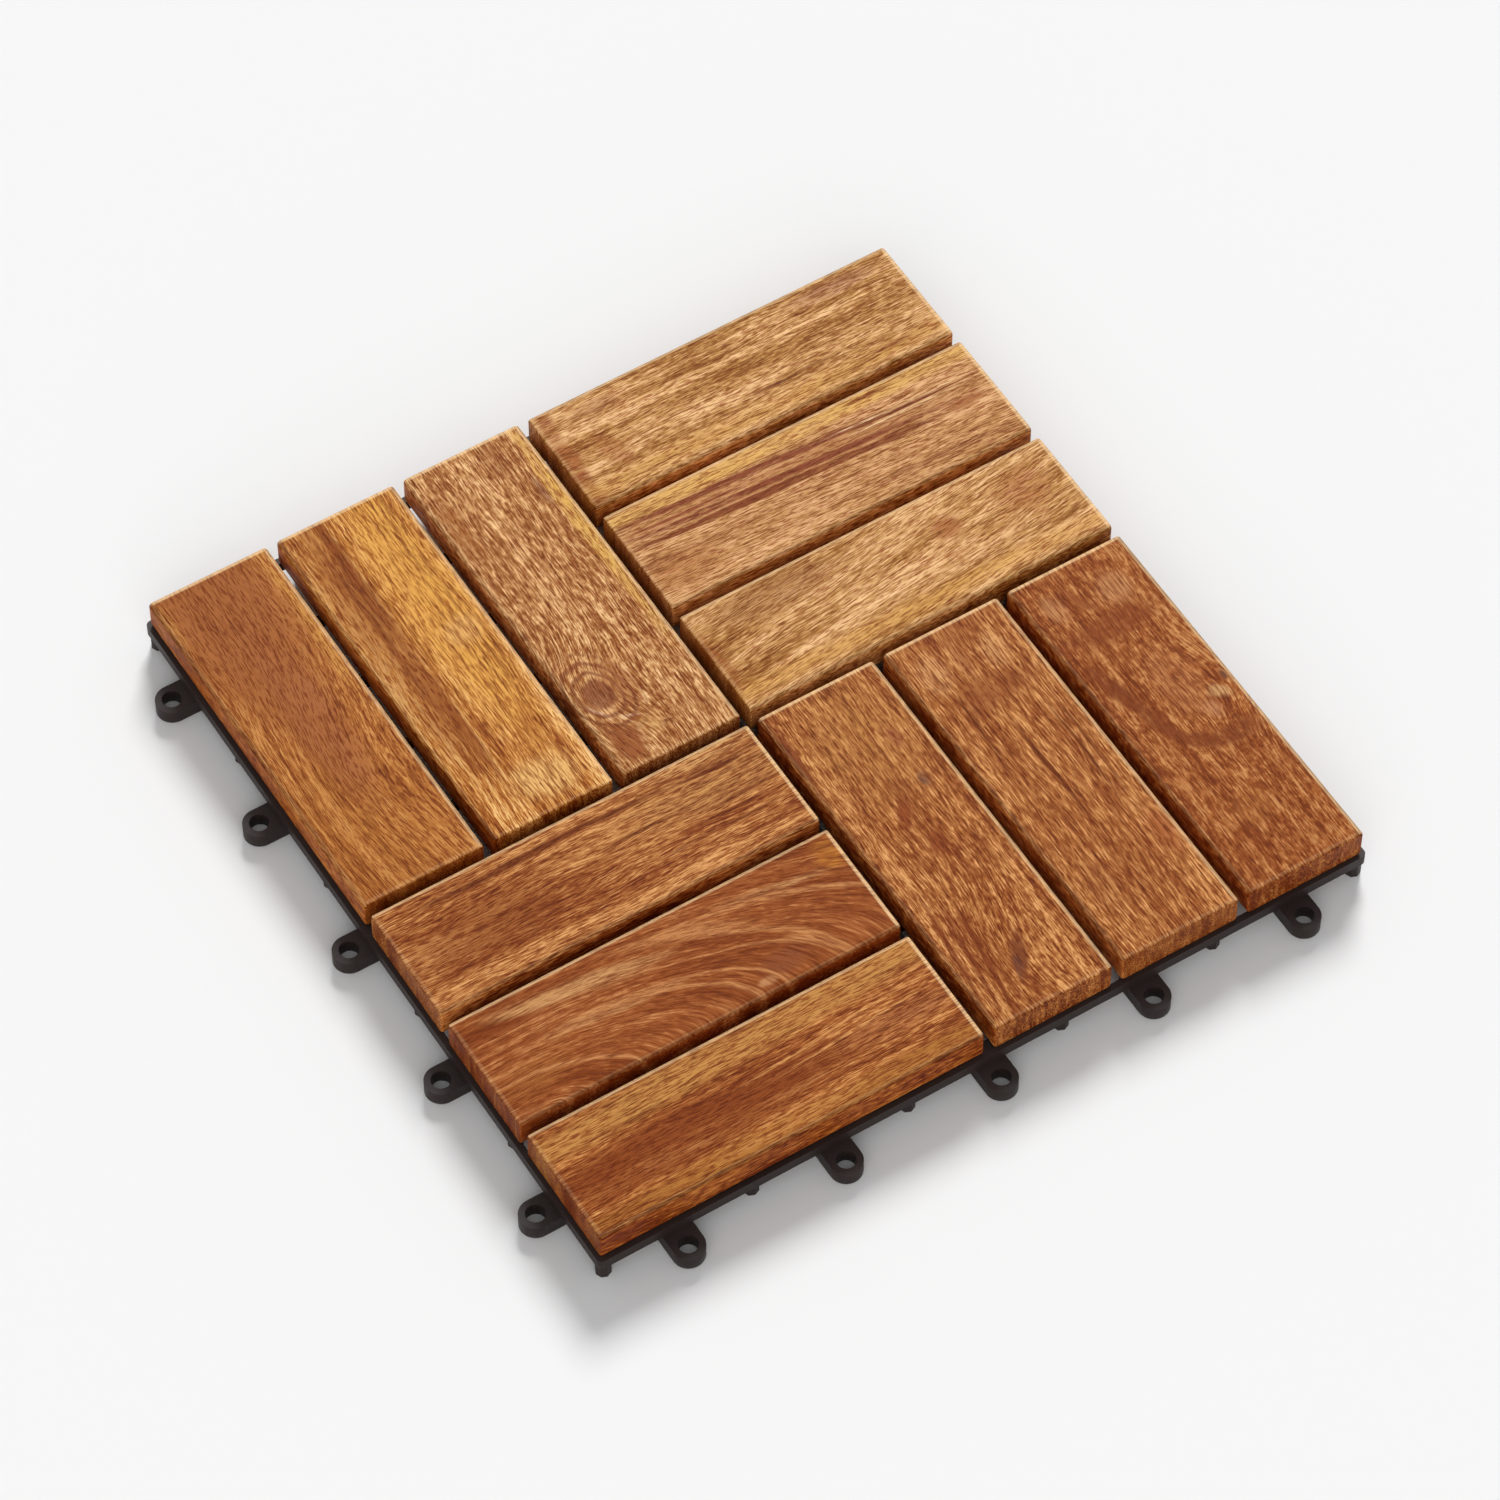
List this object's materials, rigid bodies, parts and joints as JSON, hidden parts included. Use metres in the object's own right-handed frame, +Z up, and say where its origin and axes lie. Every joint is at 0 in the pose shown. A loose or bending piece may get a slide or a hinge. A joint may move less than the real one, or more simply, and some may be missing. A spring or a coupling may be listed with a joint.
{
  "type": "interlocking deck tile",
  "caption": "Square deck tile with blocks of parallel wooden slats in alternating directions, screwed to a moulded base grid with snap loops on two sides.",
  "frame": {"origin": "on the ground under the centre of the square that one tile takes up in a floor", "axes": "+Z up out of the floor, +X and +Y towards the two sides with pins. The loops stand out towards -X and -Y."},
  "size_m": [0.311, 0.311, 0.023],
  "materials": {
    "wood_golden": "planed and oiled",
    "wood_reddish": "planed and oiled",
    "base_plastic": "fine matt texture",
    "screw_steel": "zinc plated"
  },
  "bodies": {
    "root": {"base_grid": "base_plastic", "slat_front_left_outer": "wood_golden", "slat_front_left_middle": "wood_reddish", "slat_front_left_inner": "wood_golden", "slat_front_right_outer": "wood_reddish", "slat_front_right_middle": "wood_golden", "slat_front_right_inner": "wood_golden", "slat_back_right_outer": "wood_golden", "slat_back_right_middle": "wood_golden", "slat_back_right_inner": "wood_golden", "slat_back_left_outer": "wood_reddish", "slat_back_left_middle": "wood_reddish", "slat_back_left_inner": "wood_golden", "screws_front_left_outer": "screw_steel", "screws_front_left_middle": "screw_steel", "screws_front_left_inner": "screw_steel", "screws_front_right_outer": "screw_steel", "screws_front_right_middle": "screw_steel", "screws_front_right_inner": "screw_steel", "screws_back_right_outer": "screw_steel", "screws_back_right_middle": "screw_steel", "screws_back_right_inner": "screw_steel", "screws_back_left_outer": "screw_steel", "screws_back_left_middle": "screw_steel", "screws_back_left_inner": "screw_steel"}
  },
  "joints": []
}
